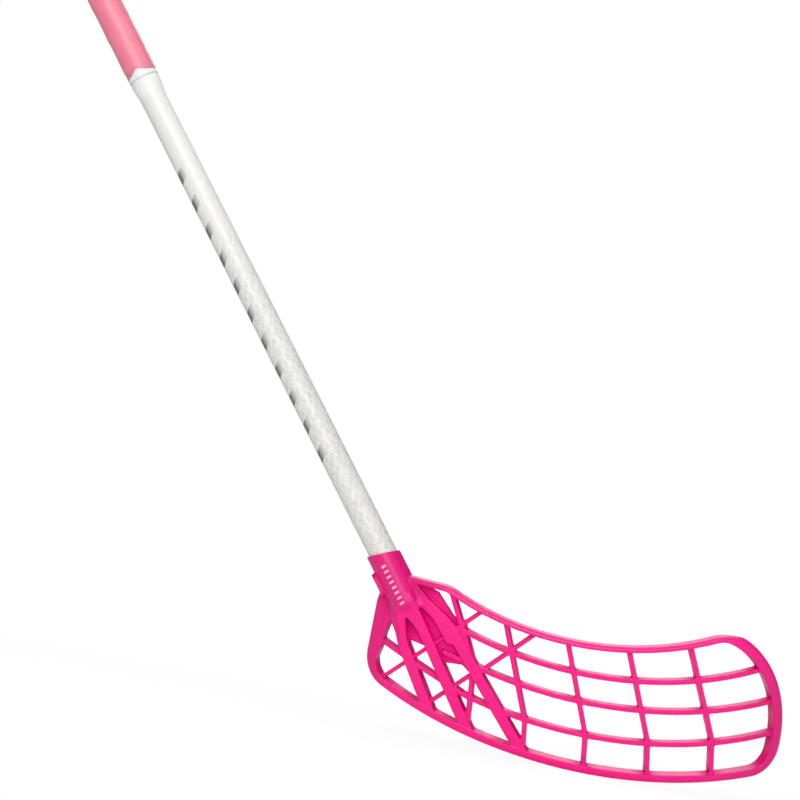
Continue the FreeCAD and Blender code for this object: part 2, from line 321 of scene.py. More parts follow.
# %% Slow mottle
slow_mottle, given, ends = new_group("slow_mottle", {"Scale": 35.0, "Contrast": 0.25}, ["Mask"])
noise = add(slow_mottle, "ShaderNodeTexNoise", {
    "Vector": object_place(slow_mottle), "Scale": given["Scale"], "Detail": 4.0,
    "Roughness": 0.55, "Distortion": 0.6})
low = maths(slow_mottle, "SUBTRACT", 0.5, given["Contrast"])
high = maths(slow_mottle, "ADD", 0.5, given["Contrast"])
fill(slow_mottle, ends, {"Mask": between(slow_mottle, noise.outputs["Fac"], low, high)})
print("group", slow_mottle.name)

# %% Hairline scuffs
# Two layers of hairs. Each is a noise that is turned, and squeezed along one axis.
SCUFF_LAYERS = ((0.35, (1.0, 1.0, 26.0)), (-0.9, (22.0, 1.0, 1.0)))
SCUFF_LEAN = 0.2
SCUFF_LEVELS = (0.66, 0.74)

hair_scuffs, given, ends = new_group("hair_scuffs", {"Scale": 60.0}, ["Mask"])
spot = object_place(hair_scuffs)
marks = 0.0
for turn, stretch in SCUFF_LAYERS:
    laid = add(hair_scuffs, "ShaderNodeMapping", {
        "Vector": spot, "Rotation": (0.0, turn, SCUFF_LEAN), "Scale": stretch})
    noise = add(hair_scuffs, "ShaderNodeTexNoise", {
        "Vector": laid.outputs["Vector"], "Scale": given["Scale"], "Detail": 2.0})
    hairs = between(hair_scuffs, noise.outputs["Fac"], *SCUFF_LEVELS)
    marks = maths(hair_scuffs, "MAXIMUM", hairs, marks)
fill(hair_scuffs, ends, {"Mask": marks})
print("group", hair_scuffs.name)

# %% A row of plain bars
# Shares of one step of the row, and the blur at the bars' ends as a share of one turn.
BAR_START = 0.10
BAR_STOP = 0.50
BAR_BLUR = 0.03
BAR_END_BLUR = 0.006

bar_row, given, ends = new_group("bar_row", {
    "Pitch": 0.02, "Slant": 0.03, "First": -20.0, "Last": -10.0, "Right": 0.3, "Left": 0.4}, ["Mask"])
place = use_group(bar_row, shaft_place)
shift = maths(bar_row, "MULTIPLY", place["Around"], given["Slant"])
count = maths(bar_row, "DIVIDE", maths(bar_row, "ADD", place["Along"], shift), given["Pitch"])
step = maths(bar_row, "FRACT", count)
# Each limit is a value, its level just outside the bar and its level just inside.
limits = (
    (step, BAR_START, BAR_START + BAR_BLUR),
    (step, BAR_STOP, BAR_STOP - BAR_BLUR),
    (maths(bar_row, "SUBTRACT", count, given["First"]), 0.0, BAR_BLUR),
    (maths(bar_row, "SUBTRACT", given["Last"], count), 0.0, BAR_BLUR),
    (maths(bar_row, "SUBTRACT", place["Around"], given["Right"]), 0.0, BAR_END_BLUR),
    (maths(bar_row, "SUBTRACT", given["Left"], place["Around"]), 0.0, BAR_END_BLUR),
)
mask = 1.0
for value, outside, inside in limits:
    mask = maths(bar_row, "MULTIPLY", between(bar_row, value, outside, inside), mask)
fill(bar_row, ends, {"Mask": mask})
print("group", bar_row.name)

# %% [markdown]
# ## The blade
# The real blade is one piece of injection-moulded polyethylene. Steel tools leave no sharp
# inner corners, so every rib meets its neighbour in a small fillet. The solid has the right
# ribs but crisp edges. Rounding hundreds of crossings one by one would be slow, so a copy
# of its mesh is rebuilt on a fine voxel grid and then relaxed a little: sharp edges melt
# into fillets of about a millimetre, and the blade keeps its size.

# %% Copy the blade's mesh
WELD = 0.001 * MM
rough = bmesh.new()
rough.from_mesh(frame["nodes"]["blade"].data)
bmesh.ops.remove_doubles(rough, verts=rough.verts, dist=WELD)
print("blade's solid:", len(rough.faces), "faces")

# %% [markdown]
# Four small blocks go in before the grid: one carries the lowest brace on into the heel, one
# tapers the hub's finger off along the heel, and two ramps carry the socket's skin on into
# the struts. The grid melts whatever overlaps into one skin, so they need no cutting.

# %% Two blocks at the heel
SQUARE = ((-1, -1), (1, -1), (1, 1), (-1, 1))
# The lowest brace: where it stops, the way it runs, and the two directions square to that.
BRACE_END = Vector((354.1, 17.7, -514.8)) * MM
BRACE_WAY = Vector((-0.658, 0.391, -0.644))
BRACE_ACROSS = Vector((0.690, -0.025, -0.722))
BRACE_THROUGH = Vector((0.271, 0.920, 0.282))
BRACE_WIDTH = 2.8 * MM
BRACE_DEPTH = 5.6 * MM
BRACE_LAP = 4.0 * MM
BRACE_REACH = 5.5 * MM
# The end of the hub's finger: its place, and the directions out of the wall, down and through.
HEEL_STEP = Vector((346.1, 14.8, -495.3)) * MM
HEEL_OUT = Vector((0.941, -0.325, -0.099))
HEEL_DOWN = Vector((-0.015, 0.239, -0.971))
HEEL_THROUGH = Vector((0.340, 0.902, 0.271))
STEP_HEIGHT = 2.1 * MM
STEP_DEPTH = 8.4 * MM
STEP_RUN = 10.0 * MM
WALL_LAP = 0.8 * MM


def add_block(shape, ways, ends):
    """A tapered block between two rectangles. Each end is (middle, width, depth)."""
    across, through = ways
    first, last = [
        [shape.verts.new(middle + across * (x * width / 2) + through * (y * depth / 2)) for x, y in SQUARE]
        for middle, width, depth in ends
    ]
    shape.faces.new(reversed(first))
    shape.faces.new(last)
    for corner in range(len(SQUARE)):
        shape.faces.new((first[corner - 1], first[corner], last[corner], last[corner - 1]))


add_block(rough, (BRACE_ACROSS, BRACE_THROUGH), (
    (BRACE_END - BRACE_WAY * BRACE_LAP, BRACE_WIDTH, BRACE_DEPTH),
    (BRACE_END + BRACE_WAY * BRACE_REACH, BRACE_WIDTH, BRACE_DEPTH)))
add_block(rough, (HEEL_OUT, HEEL_THROUGH), (
    (HEEL_STEP + HEEL_OUT * (STEP_HEIGHT - WALL_LAP) / 2, STEP_HEIGHT + WALL_LAP, STEP_DEPTH),
    (HEEL_STEP + HEEL_DOWN * STEP_RUN - HEEL_OUT * WALL_LAP / 2, WALL_LAP, STEP_DEPTH)))
print("with two blocks:", len(rough.faces), "faces")

# %% Two ramps below the socket
# Each ramp has an end on the socket and an end on a strut. The four numbers of an end are its
# place along the shaft, towards the toe and towards the viewer, and its width, all in mm.
RAMPS = (
    ((-582.0, 1.0, 10.6, 7.0), (-610.0, 2.4, 4.2, 4.0)),
    ((-582.0, -5.6, 9.1, 8.4), (-610.0, -15.0, -2.5, 5.2)),
)
RAMP_DEPTH = 6.0 * MM
# The ramps lean as the blade's face does there: so far to the viewer for each step to the toe.
FACE_SLOPE = 0.385

face_across = (toe_side + near_side * FACE_SLOPE).normalized()
face_in = (toe_side * FACE_SLOPE - near_side).normalized()
for ramp in RAMPS:
    add_block(rough, (face_across, face_in), [
        ((shaft_up * along + toe_side * side + near_side * near) * MM + face_in * (RAMP_DEPTH / 2),
         width * MM, RAMP_DEPTH)
        for along, side, near, width in ramp])
rough_mesh = bpy.data.meshes.new("blade_moulded")
rough.to_mesh(rough_mesh)
rough.free()
print("with all blocks:", len(rough_mesh.polygons), "faces")

# %% [markdown]
# Now the grid and the relaxing. Both are modifiers, which are turned into a mesh of their own
# at once, so the next step can work on the result. A grid can leave a stray crumb where two
# skins almost touch, so only the largest skin is kept.

# %% Melt the blade into one skin
BLADE_VOXEL = 0.5 * MM
RELAX_FACTOR = 0.5
RELAX_STEPS = 7


def relax(piece, steps, group=""):
    """Smooth a piece, everywhere or as far as a vertex group says."""
    smoother = piece.modifiers.new("relax", "SMOOTH")
    smoother.factor = RELAX_FACTOR
    smoother.iterations = steps
    smoother.vertex_group = group


def settle(piece):
    """Turn the modifiers of a piece into its mesh."""
    bpy.context.view_layer.update()
    seen = piece.evaluated_get(bpy.context.evaluated_depsgraph_get())
    piece.data = bpy.data.meshes.new_from_object(seen)
    piece.modifiers.clear()


def drop_crumbs(mesh):
    """Keep the largest connected skin of a mesh, and count the crumbs that were deleted."""
    shape = bmesh.new()
    shape.from_mesh(mesh)
    skins = []
    for vertex in shape.verts:
        if vertex.tag:
            continue
        vertex.tag = True
        skin = [vertex]
        for reached in skin:
            for edge in reached.link_edges:
                other = edge.other_vert(reached)
                if not other.tag:
                    other.tag = True
                    skin.append(other)
        skins.append(skin)
    skins.sort(key=len)
    for crumb in skins[:-1]:
        bmesh.ops.delete(shape, geom=crumb, context="VERTS")
    shape.to_mesh(mesh)
    shape.free()
    return len(skins) - 1


blade = put_in_scene("blade_moulded", rough_mesh)
grid = blade.modifiers.new("grid", "REMESH")
grid.mode = "VOXEL"
grid.voxel_size = BLADE_VOXEL
relax(blade, RELAX_STEPS)
settle(blade)
print("crumbs taken out:", drop_crumbs(blade.data))

# %% [markdown]
# Round the hub, where the socket flows into the struts, the same relaxing is done for
# longer. A vertex group says how far each point takes part: fully in the inner half of the
# hub, and less and less out to its rim.

# %% Melt the hub
HUB_PLACE = -0.592
HUB_REACH = 0.030
HUB_RELAX_STEPS = 22

hub_middle = shaft_up * HUB_PLACE
hub_group = blade.vertex_groups.new(name="hub")
for vertex in blade.data.vertices:
    share = 1.0 - (vertex.co - hub_middle).length / HUB_REACH
    if share > 0.0:
        hub_group.add([vertex.index], min(1.0, 2.0 * share), "REPLACE")
relax(blade, HUB_RELAX_STEPS, "hub")
settle(blade)
blade.vertex_groups.clear()
blade.data.shade_smooth()
print("blade:", len(blade.data.polygons), "faces")

# %% [markdown]
# Its finish is glossy and a little translucent, so light bleeds through the thin ribs. The
# colour is a strong pink. It is painted deeper at heel, toe and socket, partly for the thick
# plastic there and partly as painted shade where those faces turn from the light. Painted
# shade also darkens every recess and hollow, and a painted highlight makes the edges paler.
# "Pointiness" finds the edges and hollows on a dense mesh, and ambient occlusion finds the
# recesses. A short row of plain pale bars decorates the socket. Faint flow marks and a fine
# grain keep the gloss from looking like glass.

# %% Colour of the pink plastic
PINK = (0.960, 0.005, 0.258, 1.0)
PINK_DEEP_AND_SHADE = (0.620, 0.001, 0.150, 1.0)
PINK_EDGE_HIGHLIGHT = (0.990, 0.050, 0.380, 1.0)
SOCKET_MARK = (0.960, 0.560, 0.740, 1.0)
EDGE_HIGHLIGHT_LEVELS = (0.52, 0.60)
HOLLOW_SHADE_LEVELS = (0.48, 0.40)
RECESS_REACH = 10.0 * MM
RECESS_SHADE_LEVELS = (0.98, 0.70)
RECESS_SAMPLES = 6
# Where the deeper ends, thick plastic and painted shade, begin and are complete: along X at heel and toe,
# and along the shaft.
HEEL_FADE = (0.356, 0.344)
TOE_FADE = (0.582, 0.628)
SOCKET_FADE = (-0.594, -0.582)

pink, tree, shader = new_material("pink_moulded_plastic")
flow = use_group(tree, slow_mottle, Scale=28.0, Contrast=0.3)["Mask"]
corner = add(tree, "ShaderNodeNewGeometry").outputs["Pointiness"]
# Painted highlight on the edges, and painted shade in the hollows, both found by pointiness.
edges = between(tree, corner, *EDGE_HIGHLIGHT_LEVELS)
painted_hollow_shade = between(tree, corner, *HOLLOW_SHADE_LEVELS)
# Painted shade in the recesses, found by ambient occlusion. It also takes back the gloss there.
open_sky = add(
    tree, "ShaderNodeAmbientOcclusion", {"Distance": RECESS_REACH},
    samples=RECESS_SAMPLES, only_local=True).outputs["AO"]
recess_shade = between(tree, open_sky, *RECESS_SHADE_LEVELS)
across = add(tree, "ShaderNodeSeparateXYZ", {0: object_place(tree)}).outputs["X"]
along = use_group(tree, shaft_place)["Along"]
# Deeper ends at heel, toe and socket: partly thick plastic, partly painted shade where those faces turn
# from the light.
thick_and_shaded = between(tree, across, *HEEL_FADE)
thick_and_shaded = maths(tree, "MAXIMUM", thick_and_shaded, between(tree, across, *TOE_FADE))
thick_and_shaded = maths(tree, "MAXIMUM", thick_and_shaded, between(tree, along, *SOCKET_FADE))
bars = use_group(
    tree, bar_row, Pitch=4.0 * MM, Slant=6.0 * MM,
    First=-146.0, Last=-138.0, Right=0.280, Left=0.335)["Mask"]
# The deep layers are a slow mottle of real colour, the deeper ends, and painted shade in recesses and
# hollows. The pale layer is a painted highlight on the edges.
colour = layered(tree, PINK, (
    (flow, 0.10, PINK_DEEP_AND_SHADE),
    (thick_and_shaded, 0.58, PINK_DEEP_AND_SHADE),
    (recess_shade, 0.85, PINK_DEEP_AND_SHADE),
    (painted_hollow_shade, 0.35, PINK_DEEP_AND_SHADE),
    (edges, 0.45, PINK_EDGE_HIGHLIGHT),
    (bars, 0.85, SOCKET_MARK)))
print("colour of", pink.name)

# %% [markdown]
# A deep recess reflects little of the bright room, so the gloss is taken back there.

# %% Gloss of the pink plastic
SCUFF_DULLING = 0.04
GRAIN_RELIEF = 0.05
RECESS_FULL = 0.8

grain = use_group(tree, fine_grain, Scale=700.0, Detail=4.0)["Height"]
scuffs = use_group(tree, hair_scuffs, Scale=45.0)["Mask"]
dulling = maths(tree, "MULTIPLY", scuffs, SCUFF_DULLING)
relief = maths(tree, "ADD", maths(tree, "MULTIPLY", grain, GRAIN_RELIEF), flow)
fill(tree, shader, {
    "Base Color": colour,
    "Roughness": maths(tree, "ADD", grain_gloss(tree, grain, low=0.29, high=0.35), dulling),
    "Normal": bumped(tree, relief, strength=0.15, distance=0.4 * MM),
    "Specular IOR Level": between(tree, recess_shade, 0.0, RECESS_FULL, out_low=0.34, out_high=0.05),
    "Coat Weight": between(tree, recess_shade, 0.0, RECESS_FULL, out_low=0.15, out_high=0.0),
    "Coat Roughness": 0.12,
    "Subsurface Weight": 0.12,
    "Subsurface Radius": (1.0, 0.25, 0.5),
    "Subsurface Scale": 3.0 * MM,
})
dress(blade, "blade", pink)

# %% [markdown]
# ## Turned pieces
# The other pieces are round, so each is a profile turned about the shaft. A profile is a
# closed list of (radius, place along the shaft). Real edges are never knife sharp, so a
# helper rounds each corner that is given a rounding before the profile is turned.

# %% Turn a profile about the shaft
ROUND_STEPS = 5
TURN_SIDES = 144
MERGE = 0.002 * MM
SLIVER = 0.001 * MM


def soften(corners):
    """Round the corners of a closed profile. Each corner is (radius, along, rounding)."""
    outline = []
    for index, (radius, along, rounding) in enumerate(corners):
        here = Vector((radius, along))
        if not rounding:
            outline.append(here)
            continue
        before = Vector(corners[index - 1][:2]) - here
        after = Vector(corners[(index + 1) % len(corners)][:2]) - here
        start = here + before.normalized() * rounding
        stop = here + after.normalized() * rounding
        for step in range(ROUND_STEPS + 1):
            share = step / ROUND_STEPS
            outline.append(start * (1 - share) ** 2 + here * 2 * share * (1 - share) + stop * share ** 2)
    return outline


def join_columns(shape, columns):
    """Lay faces between neighbouring columns of points, all the way round."""
    for side, column in enumerate(columns):
        following = columns[(side + 1) % len(columns)]
        for row in range(len(column)):
            shape.faces.new((column[row - 1], following[row - 1], following[row], column[row]))


def close_up(shape, name):
    """Make a clean closed mesh of a bmesh and put it in the scene as a smooth piece."""
    bmesh.ops.remove_doubles(shape, verts=shape.verts, dist=MERGE)
    bmesh.ops.dissolve_degenerate(shape, edges=shape.edges, dist=SLIVER)
    bmesh.ops.recalc_face_normals(shape, faces=shape.faces)
    mesh = bpy.data.meshes.new(name)
    shape.to_mesh(mesh)
    shape.free()
    mesh.shade_smooth()
    print(name, len(mesh.polygons), "faces")
    return put_in_scene(name, mesh)


def turned(name, corners):
    """Turn a softened profile about the shaft."""
    outline = soften(corners)
    shape = bmesh.new()
    angles = [math.tau * side / TURN_SIDES for side in range(TURN_SIDES)]
    join_columns(shape, [
        [shape.verts.new(on_shaft(along, radius, angle)) for radius, along in outline]
        for angle in angles])
    piece = close_up(shape, name)
    even = piece.modifiers.new("even_light", "WEIGHTED_NORMAL")
    even.keep_sharp = True
    return piece


print("profiles are turned in", TURN_SIDES, "sides")

# %% [markdown]
# ## The shaft
# A fibre tube under clear lacquer. The outside is a plain tube with a small bevel at each
# end. What makes it look real is the skin: white, with a faint diamond weave of the fibres
# showing through towards the blade, a row of plain foil bars on the heel side, and a soft,
# even gloss on top. The bars carry painted shade: they turn darker towards the tube's
# heel-side edge. Each pattern is a function of the place along and round the shaft.

# %% Lay up the tube
TUBE_WALL = 1.4 * MM
TUBE_BEVEL = 0.3 * MM
bore = SHAFT_RADIUS - TUBE_WALL
shaft = turned("shaft_lacquered", [
    (bore, shaft_low, 0.0),
    (SHAFT_RADIUS, shaft_low, TUBE_BEVEL),
    (SHAFT_RADIUS, shaft_high, TUBE_BEVEL),
    (bore, shaft_high, 0.0),
])

# %% White lacquer over a diamond weave
WHITE = (0.815, 0.815, 0.787, 1.0)
WEAVE_GREY = (0.500, 0.505, 0.470, 1.0)
STRAND = (0.860, 0.860, 0.840, 1.0)
BLUSH = (0.860, 0.760, 0.760, 1.0)
LEAF = (0.740, 0.800, 0.730, 1.0)
FOIL_SHADED = (0.060, 0.060, 0.058, 1.0)
FOIL_LIT = (0.600, 0.600, 0.580, 1.0)
FOIL_SHADE_TURN = (0.45, 0.33)
# The strands cross in diamonds. They repeat at the pitch along the tube, and so often round it.
WEAVE_PITCH = 9.0 * MM
WEAVE_STARTS = 11.0
STRAND_LEVELS = (0.42, 0.48)
WEAVE_FADE = (-0.19, -0.42)
COAT = 0.35
COAT_WORN = 0.1

lacquer, tree, shader = new_material("white_lacquer")
place = use_group(tree, shaft_place)
climb = maths(tree, "DIVIDE", place["Along"], WEAVE_PITCH)
weave = 0.0
for hand in (WEAVE_STARTS, -WEAVE_STARTS):
    saw = maths(tree, "FRACT", maths(tree, "ADD", climb, maths(tree, "MULTIPLY", place["Around"], hand)))
    ridge = maths(tree, "ABSOLUTE", maths(tree, "SUBTRACT", saw, 0.5))
    weave = maths(tree, "MAXIMUM", between(tree, ridge, *STRAND_LEVELS), weave)
mottle = use_group(tree, slow_mottle, Scale=260.0, Contrast=0.25)["Mask"]
tint = use_group(tree, slow_mottle, Scale=70.0, Contrast=0.12)["Mask"]
scuffs = use_group(tree, hair_scuffs, Scale=40.0)["Mask"]
bars = use_group(
    tree, bar_row, Pitch=22.0 * MM, Slant=30.0 * MM,
    First=-21.0, Last=-10.0, Right=0.325, Left=0.470)["Mask"]
ground = blend_colours(tree, spread(tree, mottle, low=0.10, high=0.72), WEAVE_GREY, WHITE)
fibre = layered(tree, ground, (
    (tint, 0.30, BLUSH),
    (maths(tree, "SUBTRACT", 1.0, tint), 0.25, LEAF),
    (weave, spread(tree, mottle, low=0.65, high=1.0), STRAND)))
shown = between(tree, place["Along"], *WEAVE_FADE)
colour = blend_colours(tree, spread(tree, shown, low=0.14, high=0.80), WHITE, fibre)
# The bars are print. Their darkening towards the heel-side edge of the tube is painted shade.
foil = blend_colours(tree, between(tree, place["Around"], *FOIL_SHADE_TURN), FOIL_SHADED, FOIL_LIT)
fill(tree, shader, {
    "Base Color": blend_colours(tree, bars, colour, foil),
    "Roughness": spread(tree, mottle, low=0.32, high=0.40),
    "Normal": bumped(tree, weave, strength=0.04, distance=0.3 * MM),
    "Specular IOR Level": 0.3,
    "Coat Weight": maths(tree, "SUBTRACT", COAT, maths(tree, "MULTIPLY", scuffs, COAT_WORN)),
    "Coat Roughness": 0.14,
})
dress(shaft, "shaft_tube", lacquer)

# %% [markdown]
# ## The grip
# A soft band is wound round the tube from the butt end down, each turn lapping the last by
# a few millimetres. The band is thin and stretched tight, so a turn shows only as a
# very low step that runs round in a spiral, and the radius of the grip depends on the place
# in that spiral. The last turn laps over the collar, and its end is tucked in on the near
# side, which leaves a shallow notch in the lower edge.

# %% Shape of the wound band
COLLAR_RADIUS = GRIP_RADIUS - 0.25 * MM
LEAST_RADIUS = COLLAR_RADIUS + 0.03 * MM
# One turn of the band: its climb and the height of a lap. The lap has risen and fallen again at
# these shares of the turn, and the last number is the share of its height that always stays.
BAND_PITCH = 25.0 * MM
BAND_STEP = 0.24 * MM
LAP_RISE = 0.03
LAP_FALL = 0.92
LAP_LEAST = 0.15
# The lower edge hangs over the collar, and less at the notch. Angles are in degrees. The notch's
# curve starts below zero, which makes it pointed.
GRIP_HANG = 4.2 * MM
NOTCH_PULL = 3.75 * MM
NOTCH_PLACE = 100.0
NOTCH_REACH = 46.0
NOTCH_START = -0.35
# The rolled edges: how far they draw in, and where the roll begins and ends.
EDGE_DRAW = 0.25 * MM
EDGE_ROLL = (-0.1 * MM, 0.8 * MM)


def smooth_step(value, low, high):
    """From 0 at low to 1 at high, level at both."""
    share = min(max((value - low) / (high - low), 0.0), 1.0)
    return share * share * (3 - 2 * share)


def band_height(along, angle):
    """How far the band stands out: it rises steeply at a lap and falls slowly up to the next."""
    share = (along / BAND_PITCH - angle / math.tau) % 1.0
    fall = 1.0 - (1.0 - LAP_LEAST) * smooth_step(share, LAP_RISE, LAP_FALL)
    return fall * smooth_step(share, 0.0, LAP_RISE) + LAP_LEAST


def hang(angle):
    """How far the last turn hangs over the collar, less at the notch where its end is tucked in."""
    away = abs(math.degrees(angle) - NOTCH_PLACE) / NOTCH_REACH
    return GRIP_HANG - NOTCH_PULL * (1.0 - smooth_step(away, NOTCH_START, 1.0))


def grip_radius(along, angle, low):
    """Outer radius of the grip, with laps and rolled edges, and never inside the collar."""
    inset = min(along - low, grip_high - along)
    drawn = EDGE_DRAW * (1.0 - smooth_step(inset, *EDGE_ROLL))
    return max(GRIP_RADIUS - BAND_STEP * (1.0 - band_height(along, angle)) - drawn, LEAST_RADIUS)


print("the band goes round %.0f times" % ((grip_high - grip_low) / BAND_PITCH))

# %% [markdown]
# With the radius known at every place, the sleeve is built column by column round the shaft.
# A column starts on the tube, follows the lining out over the collar and down to the lower
# edge, and then climbs the outside in many fine rows to the butt end.

# %% Wind the grip
GRIP_ROWS = 900
GRIP_SIDES = 128
GRIP_SEAT = SHAFT_RADIUS + 0.03 * MM
LINING_RADIUS = COLLAR_RADIUS + 0.01 * MM

shape = bmesh.new()
columns = []
for side in range(GRIP_SIDES):
    angle = math.tau * side / GRIP_SIDES
    low = grip_low - hang(angle)
    profile = [(grip_low, GRIP_SEAT), (grip_low, LINING_RADIUS), (low, LINING_RADIUS)]
    for row in range(GRIP_ROWS + 1):
        along = low + (grip_high - low) * row / GRIP_ROWS
        profile.append((along, grip_radius(along, angle, low)))
    profile.append((grip_high, GRIP_SEAT))
    columns.append([shape.verts.new(on_shaft(along, radius, angle)) for along, radius in profile])
join_columns(shape, columns)
grip = close_up(shape, "grip_wound")

# %% [markdown]
# The band is a smooth, slightly velvety foam skin. A dull coat spreads the light into one
# wide, soft band along the grip, and a touch of sheen lifts its rim. A fine leathery grain
# breaks up the light. The colour is a little deeper in the laps between the turns.

# %% Salmon grip skin
SALMON = (0.970, 0.195, 0.300, 1.0)
SALMON_DEEP = (0.890, 0.145, 0.240, 1.0)
SALMON_PALE = (0.980, 0.235, 0.335, 1.0)
SHEEN_PINK = (1.0, 0.75, 0.78, 1.0)
SEAM_BELOW = (0.970, 0.998)
SEAM_ABOVE = (0.030, 0.010)

skin, tree, shader = new_material("salmon_grip_skin")
place = use_group(tree, shaft_place)
climb = maths(tree, "DIVIDE", place["Along"], BAND_PITCH)
lap = maths(tree, "FRACT", maths(tree, "SUBTRACT", climb, place["Around"]))
seam = maths(tree, "MAXIMUM", between(tree, lap, *SEAM_BELOW), between(tree, lap, *SEAM_ABOVE))
mottle = use_group(tree, slow_mottle, Scale=60.0, Contrast=0.3)["Mask"]
grain = use_group(tree, fine_grain, Scale=1400.0, Detail=3.0)["Height"]
fill(tree, shader, {
    "Base Color": layered(tree, SALMON, ((mottle, 0.18, SALMON_PALE), (seam, 0.35, SALMON_DEEP))),
    "Roughness": grain_gloss(tree, grain, low=0.42, high=0.52),
    "Normal": bumped(tree, grain, strength=0.16, distance=0.3 * MM),
    "Specular IOR Level": 1.0,
    "Coat Weight": 0.6,
    "Coat Roughness": 0.42,
    "Subsurface Weight": 0.35,
    "Subsurface Radius": (1.0, 0.3, 0.4),
    "Subsurface Scale": 4.0 * MM,
    "Sheen Weight": 0.04,
    "Sheen Roughness": 0.5,
    "Sheen Tint": SHEEN_PINK,
})
dress(grip, "grip_wrap", skin)

# %% [markdown]
# ## The collar
# Below the grip a white sleeve finishes the band: a short ring with a fine groove under
# it, then a cone that runs out on the shaft. The cone is slightly hollow, as a shrunk
# sleeve is, so its outline is a short list of points and not one straight line.

# %% Turn the collar
COLLAR_RING = 8.4 * MM
COLLAR_SEAT = SHAFT_RADIUS + 0.005 * MM
COLLAR_LIP = SHAFT_RADIUS + 0.10 * MM
GROOVE = 0.65 * MM
ring_low = collar_high - COLLAR_RING
cone = collar_low - ring_low
# From the top down: the ring, its groove, the hollow cone and the thin lip.
collar = turned("collar_sleeve", [
    (COLLAR_SEAT, collar_high, 0.0),
    (COLLAR_RADIUS, collar_high, 0.1 * MM),
    (COLLAR_RADIUS, ring_low + 2 * GROOVE, 0.2 * MM),
    (COLLAR_RADIUS - GROOVE, ring_low + GROOVE, 0.15 * MM),
    (COLLAR_RADIUS - 0.04 * MM, ring_low, 0.2 * MM),
    (COLLAR_RADIUS - 0.12 * MM, ring_low + 0.32 * cone, 1.6 * MM),
    (COLLAR_LIP + 0.40 * MM, ring_low + 0.68 * cone, 2.0 * MM),
    (COLLAR_LIP + 0.02 * MM, ring_low + 0.93 * cone, 0.8 * MM),
    (COLLAR_LIP - 0.04 * MM, collar_low, 0.04 * MM),
    (COLLAR_SEAT, collar_low, 0.0),
])

# %% [markdown]
# ## The butt cap
# The open end of the tube is closed by a plug with a low, rounded head. Its middle is
# dished a little, as such caps are where the plastic shrinks.

# %% Turn the cap
CAP_RADIUS = GRIP_RADIUS - 0.3 * MM
CAP_ROUND = 1.3 * MM
CAP_DISH = 0.25 * MM
DISH_RIM = 0.62 * CAP_RADIUS
DISH_FLOOR = 0.50 * CAP_RADIUS
PLUG_RADIUS = bore - 0.1 * MM
PLUG_WALL = 2.0 * MM
cap = turned("butt_cap", [
    (PLUG_RADIUS, cap_low, 0.4 * MM),
    (PLUG_RADIUS, grip_high, 0.0),
    (CAP_RADIUS, grip_high, 0.3 * MM),
    (CAP_RADIUS, cap_high, CAP_ROUND),
    (DISH_RIM, cap_high, 0.8 * MM),
    (DISH_FLOOR, cap_high - CAP_DISH, 0.8 * MM),
    (0.0, cap_high - CAP_DISH, 0.0),
    (0.0, grip_high - PLUG_WALL, 0.0),
    (PLUG_RADIUS - PLUG_WALL, grip_high - PLUG_WALL, 0.5 * MM),
    (PLUG_RADIUS - PLUG_WALL, cap_low, 0.3 * MM),
])

# %% [markdown]
# Collar and cap are both white plastic, but the collar is satin and the cap is matte with a
# spark-eroded grain. One function makes both, with other values in the same groups. A
# darker line is painted in the collar's groove and where the cap sits on the grip: painted
# shade in the crease, with a little dirt.

# %% White plastics
SATIN_WHITE = (0.850, 0.850, 0.825, 1.0)
SATIN_WORN = (0.740, 0.740, 0.710, 1.0)
MATTE_WHITE = (0.800, 0.800, 0.790, 1.0)
MATTE_WORN = (0.660, 0.660, 0.640, 1.0)
DIRT_AND_SHADE = (0.300, 0.300, 0.275, 1.0)
DIRT_AND_SHADE_FADE = (1.0 * MM, 0.3 * MM)


def white_plastic(name, tones, gloss, grain_scale, grain_depth, crevice):
    """A white plastic, with a darker line of painted shade and dirt at the crevice, a place along the
    shaft.
    """
    material, tree, shader = new_material(name)
    tone, worn_tone = tones
    mottle = use_group(tree, slow_mottle, Scale=90.0, Contrast=0.3)["Mask"]
    grain = use_group(tree, fine_grain, Scale=grain_scale, Detail=3.0)["Height"]
    scuffs = use_group(tree, hair_scuffs, Scale=80.0)["Mask"]
    along = use_group(tree, shaft_place)["Along"]
    away = maths(tree, "ABSOLUTE", maths(tree, "SUBTRACT", along, crevice))
    # A darker line at the crevice: painted shade in the crease, with a little dirt.
    dirt_and_shade = between(tree, away, *DIRT_AND_SHADE_FADE)
    fill(tree, shader, {
        "Base Color": layered(tree, tone, (
            (mottle, 0.25, worn_tone), (scuffs, 0.25, worn_tone), (dirt_and_shade, 0.28, DIRT_AND_SHADE))),
        "Roughness": grain_gloss(tree, grain, *gloss),
        "Normal": bumped(tree, grain, strength=0.08, distance=grain_depth),
    })
    return material


satin = white_plastic(
    "satin_white", (SATIN_WHITE, SATIN_WORN), gloss=(0.40, 0.50),
    grain_scale=800.0, grain_depth=0.2 * MM, crevice=ring_low + GROOVE)
matte = white_plastic(
    "matte_white", (MATTE_WHITE, MATTE_WORN), gloss=(0.55, 0.70),
    grain_scale=1600.0, grain_depth=0.4 * MM, crevice=grip_high)
dress(collar, "grip_collar", satin)
dress(cap, "end_cap", matte)

# %% [markdown]
# ## The screw
# One slotted screw in a boss on the heel side holds the blade. Its solid is already right,
# so it only gets a small bevel, which catches the light, and a plated steel finish with a
# very fine grain.

# %% Plate the screw
STEEL = (0.560, 0.565, 0.570, 1.0)
STEEL_BRIGHT = (0.720, 0.715, 0.700, 1.0)
STEEL_DULLING = 0.15
SCREW_BEVEL = 0.18 * MM

